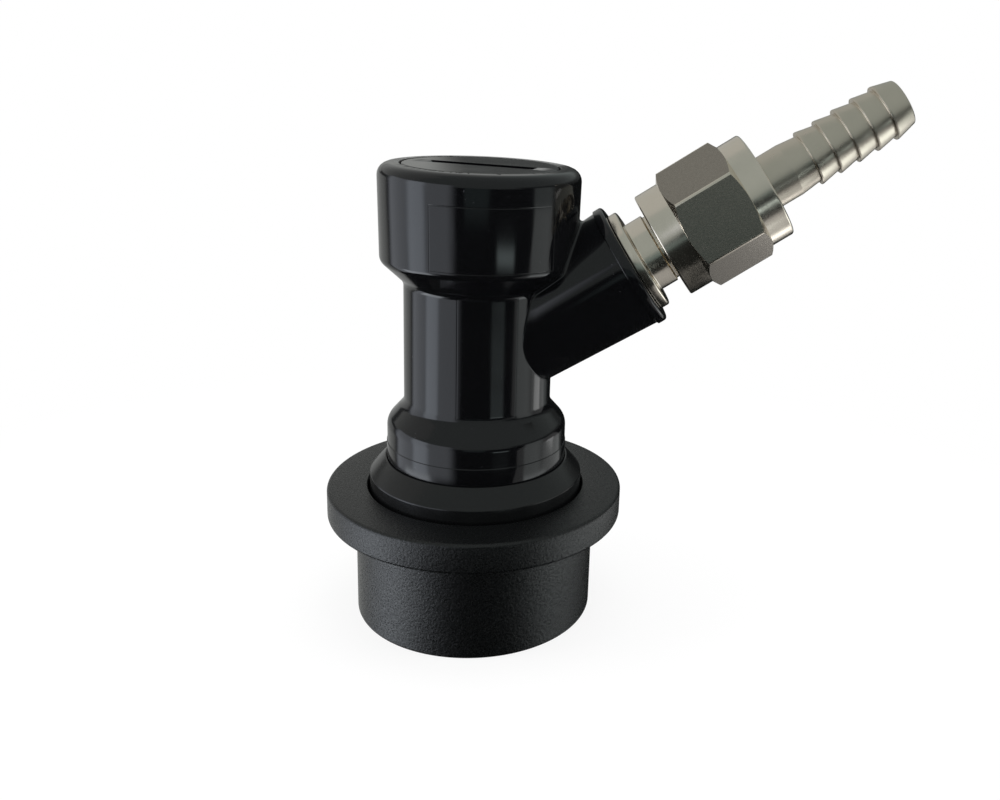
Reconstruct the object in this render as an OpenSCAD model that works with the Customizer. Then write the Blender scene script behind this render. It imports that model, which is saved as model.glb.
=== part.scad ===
/* [Body] */
// Outside diameter of the head at its top edge
head_d = 25.1; // [24:0.1:27]
// Height of the head's side, from its lower corner to its top face
head_h = 11.9; // [11:0.1:14]
// Loss of head radius from its top edge to its lower corner
head_draft = 0.2; // [0:0.05:0.4]
// Rounding of the head's top edge
head_round = 1.5; // [0.5:0.1:2]
// Outside diameter of the waist
waist_d = 18.9; // [18.5:0.1:19.5]
// Height of the waist between the two flanks
waist_h = 15.9; // [15:0.1:17]
// Height of the flank that widens from the waist to the head
head_flank_h = 2.7; // [2:0.1:4]
// Height of the flank that widens from the waist to the shoulder
shoulder_flank_h = 2.4; // [2:0.1:4]
// Outside diameter of the shoulder above the spring cup
shoulder_d = 23.2; // [22.6:0.1:23.4]
// Height of the shoulder, from its underside to the flank
shoulder_h = 6.6; // [6:0.1:8]
// Step in radius at the mould's parting line round the shoulder
parting_step = 0.08; // [0:0.01:0.12]
// Height of the parting line above the shoulder's underside
parting_h = 3.8; // [2.5:0.1:5]
// Outside diameter of the tube that the collar slides on
tube_d = 21.4; // [21:0.1:21.6]
// Length of the tube below the shoulder
tube_l = 19.3; // [19:0.1:21]
// How far the tube's open end lies above the collar's underside
tube_inset = 0.5; // [0.3:0.1:0.8]

/* [Post bore] */
// Diameter of the mouth that takes the lower part of the keg post
mouth_d = 17.7; // [17.5:0.05:17.9]
// Depth of the mouth
mouth_depth = 8.5; // [8:0.1:9]
// Diameter of the bore that the post's seal ring runs in
seal_bore_d = 16.1; // [15.9:0.05:16.3]
// Length of the seal bore
seal_bore_l = 8; // [7:0.1:9]
// Depth of the whole post bore
bore_depth = 22.9; // [22:0.1:24]
// Thickness of the wall that carries the valve seat
web_t = 3; // [2.4:0.1:3.6]

/* [Arm] */
// Angle of the arm above the horizontal
arm_angle = 34; // [31:0.5:37]
// Height at which the arm's axis meets the body's axis
arm_z = 34.6; // [34:0.1:35.5]
// Outside diameter of the arm beside its lip
arm_d = 16; // [15.6:0.1:16.4]
// Length of the arm from the body's axis to its mouth
arm_l = 23.7; // [22.5:0.1:26]
// Outside diameter of the lip round the arm's mouth
arm_lip_d = 16.5; // [16.4:0.1:17]
// Width of the lip round the arm's mouth
arm_lip_w = 1.3; // [0.8:0.1:2]
// Loss of arm radius from the lip to the body's axis
arm_draft = 1.2; // [0.8:0.1:1.6]
// Diameter of the passage from the chamber to the fitting
passage_d = 5; // [4:0.1:5.4]

/* [Chamber and cap] */
// Diameter of the valve chamber
chamber_d = 13.2; // [12.6:0.1:13.6]
// Diameter of the cap's threaded barrel
cap_barrel_d = 17.2; // [16.6:0.1:17.6]
// Length of the cap's threaded barrel
cap_barrel_l = 7.6; // [7:0.1:8]
// Diameter of the cap's head disc
cap_disc_d = 19.4; // [19:0.1:20]
// Thickness of the cap's head disc
cap_disc_t = 2; // [1.6:0.1:2.4]
// Thread pitch of the cap
cap_pitch = 1.75; // [1.5:0.25:2]
// Length of the coin slot across the cap
slot_l = 14; // [10:0.5:16]
// Width of the coin slot
slot_w = 2.4; // [1.6:0.1:3]
// Depth of the coin slot at its middle
slot_depth = 1.8; // [1:0.1:2]
// Direction of the coin slot at rest
slot_angle = -14; // [-45:1:45]

/* [Valve] */
// Diameter of the valve pin's tip, which pushes the keg post's poppet
pin_tip_d = 3.4; // [3:0.1:3.6]
// Length of the tip below the valve wall
pin_tip_l = 5; // [4:0.1:5.4]
// Diameter across the guide fins of the valve pin
fin_d = 5.9; // [5.4:0.1:6.4]
// Thickness of each guide fin
fin_t = 1; // [0.8:0.1:1.4]
// Diameter of the valve pin's flange
pin_flange_d = 10.4; // [10:0.1:11]
// Thickness of the valve pin's flange
pin_flange_t = 1.6; // [1.2:0.1:2]
// Diameter of the rubber valve seal
valve_seal_d = 10; // [9.6:0.1:10.4]
// Thickness of the rubber valve seal
valve_seal_t = 1; // [0.8:0.1:1.4]
// Height of the raised seat on the valve wall
seat_h = 0.4; // [0.2:0.1:0.6]
// Travel of the valve pin
valve_travel = 3; // [2:0.1:3.5]
// Wire diameter of the valve spring
valve_wire_d = 0.8; // [0.6:0.05:0.9]
// Mean coil diameter of the valve spring
valve_coil_d = 7; // [6.6:0.1:7.2]
// Turns of the valve spring
valve_turns = 9; // [7:1:11]

/* [Lock collar] */
// Height of the collar
collar_h = 17.5; // [17:0.1:18]
// Outside diameter of the collar's skirt
skirt_d = 31.4; // [31:0.1:32.5]
// Outside diameter of the collar's finger flange
flange_d = 38.7; // [37:0.1:40]
// Thickness of the finger flange
flange_t = 3.9; // [3:0.1:4.5]
// Wall of the collar round its spring
collar_wall = 1.4; // [1.2:0.1:1.6]
// Height of the shelf that the collar spring stands on
shelf_h = 8; // [7.6:0.1:8.2]
// Radial gap between the locking land and the tube
land_gap = 0.55; // [0.5:0.01:0.6]
// Lift of the collar that frees the balls
collar_lift = 4; // [3.5:0.1:4.2]
// Wire diameter of the collar spring
collar_wire_d = 0.9; // [0.7:0.05:1]
// Turns of the collar spring
collar_turns = 4.5; // [4:0.5:5]

/* [Locking balls] */
// Diameter of a locking ball
ball_d = 3.175; // [3.1:0.005:3.2]
// How far a locked ball stands into the mouth
ball_bite = 0.84; // [0.7:0.01:0.9]
// Height of the balls above the collar's underside
ball_z = 5.4; // [5.2:0.1:5.6]
// Clearance of a ball in its hole
ball_clear = 0.05; // [0.03:0.01:0.08]
// Clearance of a freed ball behind the mouth's wall
ball_free = 0.07; // [0.05:0.01:0.1]

/* [Spring cup and retaining ring] */
// Outside diameter of the spring cup
cup_d = 27.8; // [27.2:0.1:28]
// Height of the spring cup's bevel
cup_bevel_h = 2.2; // [1.8:0.1:2.6]
// Height of the spring cup
cup_h = 7.4; // [7:0.1:7.5]
// Depth of the groove in the cup that holds the spring
cup_groove = 3.5; // [2:0.1:3.8]
// How far the cup overlaps the shoulder
cup_overlap = 1.6; // [1.2:0.1:2]
// Thickness of the retaining ring
ring_t = 1; // [0.8:0.05:1.2]
// Outside diameter of the retaining ring
ring_d = 23.8; // [23.6:0.05:23.8]
// Depth of the retaining ring's groove in the tube
ring_groove = 0.5; // [0.4:0.05:0.7]
// Height of the retaining ring's groove above the tube's end
ring_h = 1; // [0.8:0.05:1.1]
// Opening between the ends of the retaining ring
ring_gap = 4; // [2:0.5:8]

/* [Flare fitting] */
// Diameter of the flange against the arm's mouth
fit_flange_d = 13.5; // [13:0.1:14.5]
// Thickness of that flange
fit_flange_t = 1.2; // [0.8:0.1:1.6]
// Diameter of the fitting's stub inside the arm
stub_d = 10.3; // [10:0.1:11]
// Length of the stub inside the arm
stub_l = 11.5; // [10:0.1:12]
// Diameter of the plain neck before the thread
neck_d = 9.4; // [9:0.1:9.5]
// Length of the plain neck
neck_l = 3.3; // [3:0.1:4]
// Major diameter of the flare thread
thread_d = 11.1; // [11:0.1:11.2]
// Length of the flare thread
thread_l = 8; // [7.6:0.1:8.2]
// Thread pitch of the flare thread
thread_pitch = 1.27; // [1.2:0.01:1.3]
// Turns that take the nut off the thread
nut_turns = 5; // [4:1:6]
// Diameter at the root of the flare nose
nose_d = 9.4; // [9.2:0.1:9.6]
// Diameter at the tip of the flare nose
nose_tip_d = 5.8; // [5.6:0.1:6.2]
// Bore of the fitting
fit_bore_d = 4.6; // [4.2:0.1:5]

/* [Flare washer and swivel nut] */
// Thickness of the flare washer along its axis
washer_t = 1; // [0.8:0.1:1.2]
// Bore of the flare washer
washer_bore_d = 5.2; // [5:0.1:5.6]
// Size of the nut across its flats
nut_af = 14.3; // [14:0.1:15]
// Length of the nut
nut_l = 15; // [14.8:0.1:16]
// Length of the round rim at the nut's open end
nut_front_rim = 3.2; // [2.6:0.1:3.6]
// Length of the round rim at the nut's closed end
nut_back_rim = 3; // [2.6:0.1:3.6]
// Turn of the nut's flats about its axis at rest
nut_turn = -5; // [-30:1:30]
// Opening of the nut's back wall, which the barb passes through
nut_back_d = 7.8; // [7.7:0.1:8.2]

/* [Barb tail] */
// Diameter of the tail's flared head
tail_head_d = 9.8; // [9.6:0.1:10.2]
// Length of the tail's flared head
tail_head_l = 3.2; // [2.9:0.1:3.6]
// Diameter of the plain shank
shank_d = 7; // [6.8:0.1:7.2]
// Length of the plain shank, from the head to the first taper
shank_l = 5.6; // [5:0.1:7]
// Number of barbs
barb_count = 5; // [3:1:6]
// Spacing of the barbs
barb_pitch = 2.65; // [2.2:0.05:3]
// Diameter over a barb's sharp edge
barb_d = 7.4; // [7.2:0.05:7.5]
// Width of the plain land on a barb's edge
barb_land = 0.25; // [0.15:0.05:0.4]
// Diameter at the foot of a barb
barb_root_d = 6.4; // [6:0.1:6.6]
// Length of the last barb, to the tip of the tail
barb_end_l = 2.8; // [2.4:0.1:3.4]
// Bore of the tail
tail_bore_d = 4.4; // [4:0.1:4.8]

/* [Hidden] */
$fn = 96;
// One node for each locking ball
ball_count = 3;

// Straight segments in each rounded corner of an outline
corner_steps = 6;
// Overlap that makes a cut or a join run past its face
past = 1;
// Running clearance between pieces that slide or turn
slide_gap = 0.1;
// Seat clearance between pieces that rest on each other
seat_gap = 0.05;
// Gap between faces that press on each other in the real part
touch_gap = 0.02;
// Depth and length of small lead-in chamfers
lead_in = 0.5;

// Radii
head_r = head_d / 2;
head_foot_r = head_r - head_draft;
waist_r = waist_d / 2;
shoulder_r = shoulder_d / 2;
tube_r = tube_d / 2;
mouth_r = mouth_d / 2;
seal_bore_r = seal_bore_d / 2;
chamber_r = chamber_d / 2;
barrel_r = cap_barrel_d / 2;
ball_r = ball_d / 2;

// Heights of the body, stacked upwards from the collar's underside
tube_z = tube_inset;
shoulder_z = tube_z + tube_l;
flank_z = shoulder_z + shoulder_h;
waist_z = flank_z + shoulder_flank_h;
head_flank_z = waist_z + waist_h;
head_z = head_flank_z + head_flank_h;
top_z = head_z + head_h;

// Post bore and valve wall
seal_bore_z = tube_z + mouth_depth + (mouth_r - seal_bore_r);
relief_z = seal_bore_z + seal_bore_l;
relief_step = 0.25;
relief_r = seal_bore_r + relief_step;
web_z = tube_z + bore_depth;
seat_z = web_z + web_t;
fin_gap = 0.15;
pin_hole_r = fin_d / 2 + fin_gap;
seat_ring_inset = 0.9;
seat_ring_r = valve_seal_d / 2 - seat_ring_inset;
seat_ring_w = 0.5;

// Cap and its seal ring
cap_seat_z = top_z - cap_disc_t;
barrel_z = cap_seat_z - cap_barrel_l;
ledge_gap = 0.4;
ledge_z = barrel_z - ledge_gap;
cap_ring_d = 1.6;
cap_ring_inset = 1.7;
cap_ring_z = barrel_z + cap_ring_inset;
cap_groove_r = barrel_r + slide_gap - cap_ring_d;
cap_socket_gap = 0.3;
cap_socket_r = valve_coil_d / 2 + valve_wire_d / 2 + cap_socket_gap;
cap_socket_depth = 2;
slot_radius = (pow(slot_l / 2, 2) + pow(slot_depth, 2)) / (2 * slot_depth);

// Valve pin, from its tip upwards
pin_tip_z = web_z - pin_tip_l;
seal_z = seat_z + seat_h + seat_gap;
pin_flange_z = seal_z + valve_seal_t + seat_gap;
spring_foot_z = pin_flange_z + pin_flange_t;
spigot_gap = 0.4;
spigot_r = valve_coil_d / 2 - valve_wire_d / 2 - spigot_gap;
spigot_l = 4.5;
fin_foot = 1.6;
valve_spring_top_z = barrel_z + cap_socket_depth;

// Collar, locking land and balls
collar_bore_r = skirt_d / 2 - collar_wall;
land_r = tube_r + land_gap;
ball_lock_r = mouth_r + ball_r - ball_bite;
ball_travel = ball_bite + ball_free;
cam_slope = ball_travel / collar_lift;
cam_over_ball = 0.3;
cam_z = ball_z + cam_over_ball;
cam_foot_r = land_r + cam_z * cam_slope;
ball_cone = 20;
ball_hole_r = ball_r + ball_clear + touch_gap;
ball_seat_r = (ball_r + ball_clear) / cos(ball_cone);
ball_throat = ball_lock_r - (ball_seat_r - ball_hole_r) / tan(ball_cone);

// Spring cup: it hangs under the shoulder, and the collar spring stands in it
cup_top_z = shoulder_z + cup_overlap;
cup_z = cup_top_z - cup_h;
cup_r = cup_d / 2;
cup_bore_r = tube_r + slide_gap;
cup_socket_r = shoulder_r + parting_step + slide_gap;
cup_inner_wall = 1;
cup_outer_wall = 0.75;
cup_groove_in = cup_bore_r + cup_inner_wall;
cup_groove_out = cup_r - cup_outer_wall;
cup_rim = 0.15;
collar_coil_r = (cup_groove_in + cup_groove_out) / 2;
ring_z = tube_z + ring_h;

// Stations along the arm, measured from the body's axis
socket_gap = 0.3;
socket_s = arm_l - stub_l - socket_gap;
flange_s = arm_l + seat_gap;
neck_s = flange_s + fit_flange_t;
thread_s = neck_s + neck_l;
thread_end_s = thread_s + thread_l;
nose_l = (nose_d - nose_tip_d) / 2;
nose_s = thread_end_s + nose_l;
stub_r = stub_d / 2;
stub_ring_d = 1.8;
stub_ring_inset = 2.6;
stub_ring_s = socket_s + stub_ring_inset;
neck_relief = 0.3;
neck_relief_w = 0.9;
nut_overhang = 0.4;
nut_s = thread_s - nut_overhang;
nut_back_wall = 2.1;
nut_wall_s = nut_s + nut_l - nut_back_wall;
nut_bore_r = thread_d / 2 + slide_gap;
nut_rim_r = nut_af / 2 - seat_gap;
nut_corner_r = nut_af / 2 / cos(30);
nut_bevel = 0.35;
nut_chamfer = (nut_corner_r - nut_rim_r) * nut_bevel;
tail_head_end_s = nut_wall_s - seat_gap;
tail_s = tail_head_end_s - tail_head_l;
taper_s = tail_head_end_s + shank_l;
barb_s = taper_s + barb_pitch;
tip_s = barb_s + (barb_count - 1) * barb_pitch + barb_end_l;
tip_taper = 0.2;
tip_r = barb_root_d / 2 - tip_taper;

// Helpers

function unit(v) = v / norm(v);
function at(p) = [p[0], p[1]];

// Arc that rounds the corner b between a and c, no longer than its sides allow
function corner(a, b, c, radius) =
    let (
        p = unit(a - b),
        q = unit(c - b),
        half = acos(max(-1, min(1, p * q))) / 2,
        reach = min(radius / tan(half), 0.48 * min(norm(a - b), norm(c - b))),
        r = reach * tan(half),
        centre = b + unit(p + q) * r / sin(half),
        first = b + p * reach - centre,
        last = b + q * reach - centre,
        start = atan2(first[1], first[0]),
        swing = atan2(last[1], last[0]) - start,
        turn = swing > 180 ? swing - 360 : swing < -180 ? swing + 360 : swing
    )
    [for (i = [0 : corner_steps])
        centre + r * [cos(start + turn * i / corner_steps), sin(start + turn * i / corner_steps)]];

// Outline whose corners are [radius, height] or [radius, height, rounding]
function outline(points) =
    let (n = len(points))
    [for (i = [0 : n - 1])
        each (len(points[i]) < 3
            ? [at(points[i])]
            : corner(at(points[(i + n - 1) % n]), at(points[i]), at(points[(i + 1) % n]), points[i][2]))];

module turned(points) {
    rotate_extrude() polygon(outline(points));
}

// Puts a piece on the arm's axis, with +Z pointing out of the arm's mouth
module on_arm() {
    translate([0, 0, arm_z]) rotate([0, 90 - arm_angle, 0]) children();
}

// Seal ring of round section
module seal_ring(mean_r, section_d, height) {
    translate([0, 0, height])
        rotate_extrude() translate([mean_r, 0]) circle(d = section_d, $fn = 32);
}

// Height of the wire's centre after t turns, with one closed turn at each end
function coil_height(t, turns, length, wire) =
    let (closed = wire * 1.03, foot = wire / 2)
    t < 1 ? foot + t * closed
    : t > turns - 1 ? length - foot - (turns - t) * closed
    : foot + closed + (t - 1) / (turns - 2) * (length - 2 * foot - 2 * closed);

// Compression spring standing at height z
module coil_spring(z, coil_r, wire, length, turns, per_turn, sides = 8) {
    rings = round(turns * per_turn);
    wire_points = [for (i = [0 : rings], j = [0 : sides - 1])
        let (
            t = i / per_turn,
            out = coil_r + wire / 2 * cos(360 * j / sides),
            up = z + coil_height(t, turns, length, wire) + wire / 2 * sin(360 * j / sides)
        )
        [out * cos(360 * t), out * sin(360 * t), up]];
    skin = [for (i = [0 : rings - 1], j = [0 : sides - 1])
        let (k = (j + 1) % sides, a = i * sides, b = (i + 1) * sides)
        each [[a + j, b + j, b + k], [a + j, b + k, a + k]]];
    first_end = [for (j = [0 : sides - 1]) j];
    last_end = [for (j = [sides - 1 : -1 : 0]) rings * sides + j];
    polyhedron(points = wire_points, faces = concat([first_end, last_end], skin), convexity = 10);
}

// Body

module body_outside() {
    turned([
        [0, tube_z],
        [tube_r, tube_z, 0.3],
        [tube_r, ring_z],
        [tube_r - ring_groove, ring_z],
        [tube_r - ring_groove, ring_z + ring_t + seat_gap],
        [tube_r, ring_z + ring_t + seat_gap],
        [tube_r, shoulder_z],
        [shoulder_r + parting_step, shoulder_z],
        [shoulder_r + parting_step, shoulder_z + parting_h],
        [shoulder_r, shoulder_z + parting_h],
        [shoulder_r, flank_z, 1.8],
        [waist_r, waist_z, 2],
        [waist_r, head_flank_z, 1.4],
        [head_foot_r, head_z, 1.2],
        [head_r, top_z, head_round],
        [0, top_z]
    ]);
}

module body_cavity() {
    turned([
        [0, tube_z - past],
        [mouth_r + lead_in, tube_z - past],
        [mouth_r + lead_in, tube_z],
        [mouth_r, tube_z + lead_in],
        [mouth_r, tube_z + mouth_depth],
        [seal_bore_r, seal_bore_z],
        [seal_bore_r, relief_z],
        [relief_r, relief_z],
        [relief_r, web_z, 0.4],
        [pin_hole_r, web_z],
        [pin_hole_r, seat_z],
        [seat_ring_r - seat_ring_w, seat_z],
        [seat_ring_r, seat_z + seat_h],
        [seat_ring_r + seat_ring_w, seat_z],
        [chamber_r, seat_z, 0.5],
        [chamber_r, ledge_z],
        [barrel_r + slide_gap, ledge_z],
        [barrel_r + slide_gap, cap_seat_z],
        [cap_disc_d / 2 + slide_gap, cap_seat_z],
        [cap_disc_d / 2 + slide_gap, top_z + past],
        [0, top_z + past]
    ]);
}

module arm_outside() {
    on_arm() turned([
        [0, 0],
        [arm_d / 2 - arm_draft, 0],
        [arm_d / 2, arm_l - arm_lip_w],
        [arm_lip_d / 2, arm_l - arm_lip_w, 0.15],
        [arm_lip_d / 2, arm_l, 0.5],
        [0, arm_l]
    ]);
}

module arm_cavity() {
    on_arm() turned([
        [0, passage_d / 2],
        [passage_d / 2, passage_d / 2],
        [passage_d / 2, socket_s],
        [stub_r + seat_gap, socket_s],
        [stub_r + seat_gap, arm_l + past],
        [0, arm_l + past]
    ]);
}

// Places its children at each ball hole, with +Z pointing outwards
module at_ball(i) {
    rotate([0, 0, 180 + i * 360 / ball_count]) translate([0, 0, ball_z]) rotate([0, 90, 0]) children();
}

// The hole narrows inwards, so the ball can't fall into the mouth
module ball_hole() {
    reach = 2 * past;
    translate([0, 0, ball_throat]) cylinder(r = ball_hole_r, h = tube_r - ball_throat + past);
    small_r = ball_hole_r - reach * tan(ball_cone);
    translate([0, 0, ball_throat - reach]) cylinder(r1 = small_r, r2 = ball_hole_r, h = reach + 0.001);
}

module body() {
    color([0.06, 0.06, 0.07]) difference() {
        union() {
            body_outside();
            arm_outside();
        }
        body_cavity();
        arm_cavity();
        for (i = [0 : ball_count - 1]) at_ball(i) ball_hole();
    }
}

// Cap and its seal

module top_cap() {
    color([0.08, 0.08, 0.085]) difference() {
        turned([
            [0, barrel_z],
            [barrel_r, barrel_z, 0.2],
            [barrel_r, cap_ring_z - cap_ring_d / 2 - seat_gap],
            [cap_groove_r - touch_gap, cap_ring_z - cap_ring_d / 2 - seat_gap],
            [cap_groove_r - touch_gap, cap_ring_z + cap_ring_d / 2 + seat_gap],
            [barrel_r, cap_ring_z + cap_ring_d / 2 + seat_gap],
            [barrel_r, cap_seat_z + touch_gap],
            [cap_disc_d / 2, cap_seat_z + touch_gap],
            [cap_disc_d / 2, top_z, 0.25],
            [0, top_z]
        ]);
        // Socket for the top of the valve spring
        translate([0, 0, barrel_z - past]) cylinder(r = cap_socket_r, h = cap_socket_depth + past);
        // Coin slot, cut as a coin would lie in it
        rotate([0, 0, slot_angle])
            translate([0, slot_w / 2, top_z - slot_depth + slot_radius])
            rotate([90, 0, 0]) cylinder(r = slot_radius, h = slot_w);
    }
}

module cap_seal() {
    mean_r = cap_groove_r + (cap_ring_d - touch_gap) / 2;
    color([0.03, 0.03, 0.03]) seal_ring(mean_r, cap_ring_d - touch_gap, cap_ring_z);
}

// Valve

module valve_pin() {
    color([0.1, 0.1, 0.11]) union() {
        turned([
            [0, pin_tip_z],
            [pin_tip_d / 2, pin_tip_z, 0.6],
            [pin_tip_d / 2, pin_flange_z],
            [pin_flange_d / 2, pin_flange_z],
            [pin_flange_d / 2, spring_foot_z, 0.3],
            [spigot_r, spring_foot_z],
            [spigot_r - 0.4, spring_foot_z + spigot_l, 0.5],
            [0, spring_foot_z + spigot_l]
        ]);
        // Cross of guide fins, which leaves four channels for the drink
        fin_l = seal_z - seat_gap - pin_tip_z - fin_foot;
        intersection() {
            translate([0, 0, pin_tip_z + fin_foot]) cylinder(r = fin_d / 2, h = fin_l);
            for (a = [0, 90]) rotate([0, 0, a])
                translate([-fin_d, -fin_t / 2, pin_tip_z]) cube([2 * fin_d, fin_t, bore_depth]);
        }
    }
}

module valve_seal() {
    color([0.03, 0.03, 0.03]) difference() {
        translate([0, 0, seal_z]) cylinder(d = valve_seal_d, h = valve_seal_t);
        translate([0, 0, seal_z - past])
            cylinder(r = pin_tip_d / 2 + seat_gap, h = valve_seal_t + 2 * past);
    }
}

module valve_spring() {
    foot = spring_foot_z + seat_gap;
    length = valve_spring_top_z - seat_gap - foot;
    color([0.7, 0.7, 0.72]) coil_spring(foot, valve_coil_d / 2, valve_wire_d, length, valve_turns, 16);
}

// Lock collar, its spring and cup, the balls and the retaining ring

module lock_collar() {
    color([0.09, 0.09, 0.095]) turned([
        [cam_foot_r, 0],
        [skirt_d / 2, 0, 0.4],
        [skirt_d / 2, collar_h - flange_t, 0.3],
        [flange_d / 2, collar_h - flange_t, 0.4],
        [flange_d / 2, collar_h, 0.4],
        [collar_bore_r + lead_in, collar_h],
        [collar_bore_r, collar_h - lead_in],
        [collar_bore_r, shelf_h, 0.4],
        [land_r, shelf_h, 0.3],
        [land_r, cam_z]
    ]);
}

module collar_spring() {
    foot = shelf_h + seat_gap;
    length = cup_z + cup_groove - seat_gap - foot;
    color([0.7, 0.7, 0.72]) coil_spring(foot, collar_coil_r, collar_wire_d, length, collar_turns, 24);
}

module spring_cup() {
    bevel_z = cup_top_z - cup_bevel_h;
    color([0.07, 0.07, 0.075]) turned([
        [cup_bore_r, cup_z],
        [cup_groove_in, cup_z],
        [cup_groove_in, cup_z + cup_groove],
        [cup_groove_out, cup_z + cup_groove],
        [cup_groove_out, cup_z],
        [cup_r, cup_z, 0.2],
        [cup_r, bevel_z, 0.3],
        [cup_socket_r + cup_rim, cup_top_z],
        [cup_socket_r, cup_top_z],
        [cup_socket_r, shoulder_z - seat_gap],
        [cup_bore_r, shoulder_z - seat_gap]
    ]);
}

module ball(i) {
    color([0.75, 0.75, 0.77]) at_ball(i) translate([0, 0, ball_lock_r]) sphere(d = ball_d);
}

module ball_1() {
    ball(0);
}

module ball_2() {
    ball(1);
}

module ball_3() {
    ball(2);
}

module retaining_ring() {
    color([0.7, 0.7, 0.72]) difference() {
        translate([0, 0, ring_z + seat_gap / 2]) cylinder(d = ring_d, h = ring_t);
        translate([0, 0, ring_z - past])
            cylinder(r = tube_r - ring_groove + seat_gap, h = ring_t + 2 * past);
        // The gap lies halfway between two balls
        rotate([0, 0, 180 + 1.5 * 360 / ball_count])
            translate([0, -ring_gap / 2, ring_z - past]) cube([ring_d, ring_gap, ring_t + 2 * past]);
    }
}

// Flare fitting, washer, nut and barb, all turned on the arm's axis

module flare_fitting() {
    groove_r = stub_r - stub_ring_d + seat_gap;
    color([0.62, 0.6, 0.57]) on_arm() turned([
        [fit_bore_d / 2, arm_l - stub_l],
        [stub_r, arm_l - stub_l, 0.3],
        [stub_r, stub_ring_s - stub_ring_d / 2 - seat_gap],
        [groove_r - touch_gap, stub_ring_s - stub_ring_d / 2 - seat_gap],
        [groove_r - touch_gap, stub_ring_s + stub_ring_d / 2 + seat_gap],
        [stub_r, stub_ring_s + stub_ring_d / 2 + seat_gap],
        [stub_r, flange_s],
        [fit_flange_d / 2, flange_s],
        [fit_flange_d / 2, neck_s, 0.3],
        [neck_d / 2, neck_s],
        [neck_d / 2, thread_s - neck_relief_w],
        [neck_d / 2 - neck_relief, thread_s - neck_relief_w],
        [neck_d / 2 - neck_relief, thread_s],
        [thread_d / 2, thread_s + (thread_d - neck_d) / 2 + neck_relief],
        [thread_d / 2, thread_end_s - lead_in],
        [thread_d / 2 - lead_in, thread_end_s],
        [nose_d / 2, thread_end_s],
        [nose_tip_d / 2, nose_s, 0.2],
        [fit_bore_d / 2, nose_s]
    ]);
}

module fitting_seal() {
    mean_r = stub_r + seat_gap - stub_ring_d / 2 - touch_gap / 2;
    color([0.03, 0.03, 0.03]) on_arm() seal_ring(mean_r, stub_ring_d - 2 * touch_gap, stub_ring_s);
}

module flare_washer() {
    outer_r = nose_d / 2;
    inner_r = washer_bore_d / 2;
    face_s = thread_end_s + seat_gap;
    color([0.9, 0.9, 0.86]) on_arm() turned([
        [outer_r, face_s],
        [outer_r, face_s + washer_t],
        [inner_r, face_s + washer_t + outer_r - inner_r],
        [inner_r, face_s + outer_r - inner_r]
    ]);
}

module swivel_nut() {
    nut_end_s = nut_s + nut_l;
    hex_s = nut_s + nut_front_rim;
    hex_end_s = nut_end_s - nut_back_rim;
    color([0.6, 0.58, 0.55]) on_arm() rotate([0, 0, nut_turn]) difference() {
        union() {
            intersection() {
                translate([0, 0, hex_s]) cylinder(r = nut_corner_r, h = hex_end_s - hex_s, $fn = 6);
                turned([
                    [0, hex_s],
                    [nut_rim_r, hex_s],
                    [nut_corner_r, hex_s + nut_chamfer],
                    [nut_corner_r, hex_end_s - nut_chamfer],
                    [nut_rim_r, hex_end_s],
                    [0, hex_end_s]
                ]);
            }
            turned([
                [0, nut_s],
                [nut_rim_r, nut_s, 0.3],
                [nut_rim_r, nut_end_s, 0.3],
                [0, nut_end_s]
            ]);
        }
        turned([
            [0, nut_s - past],
            [nut_bore_r + lead_in, nut_s - past],
            [nut_bore_r + lead_in, nut_s],
            [nut_bore_r, nut_s + lead_in],
            [nut_bore_r, nut_wall_s],
            [nut_back_d / 2, nut_wall_s],
            [nut_back_d / 2, nut_end_s + past],
            [0, nut_end_s + past]
        ]);
    }
}

module barb_tail() {
    head_r = tail_head_d / 2;
    bore_r = tail_bore_d / 2;
    seat_s = thread_end_s + 2 * seat_gap + washer_t;
    seat_r = nose_d / 2 - (tail_s - seat_s);
    root_r = barb_root_d / 2;
    teeth = [for (i = [0 : barb_count - 1])
        let (s = barb_s + i * barb_pitch)
        each [[root_r, s], [barb_d / 2, s], [barb_d / 2, s + barb_land]]];
    color([0.62, 0.6, 0.57]) on_arm() turned(concat(
        [
            [bore_r, seat_s + nose_d / 2 - bore_r],
            [seat_r, tail_s],
            [head_r, tail_s, 0.2],
            [head_r, tail_head_end_s, 0.3],
            [shank_d / 2, tail_head_end_s],
            [shank_d / 2, taper_s]
        ],
        teeth,
        [
            [tip_r, tip_s, 0.25],
            [bore_r, tip_s]
        ]
    ));
}

body();
top_cap();
cap_seal();
valve_pin();
valve_seal();
valve_spring();
spring_cup();
collar_spring();
lock_collar();
ball_1();
ball_2();
ball_3();
retaining_ring();
flare_fitting();
fitting_seal();
flare_washer();
swivel_nut();
barb_tail();
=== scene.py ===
import bpy
import math
from mathutils import Matrix, Vector


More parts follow.
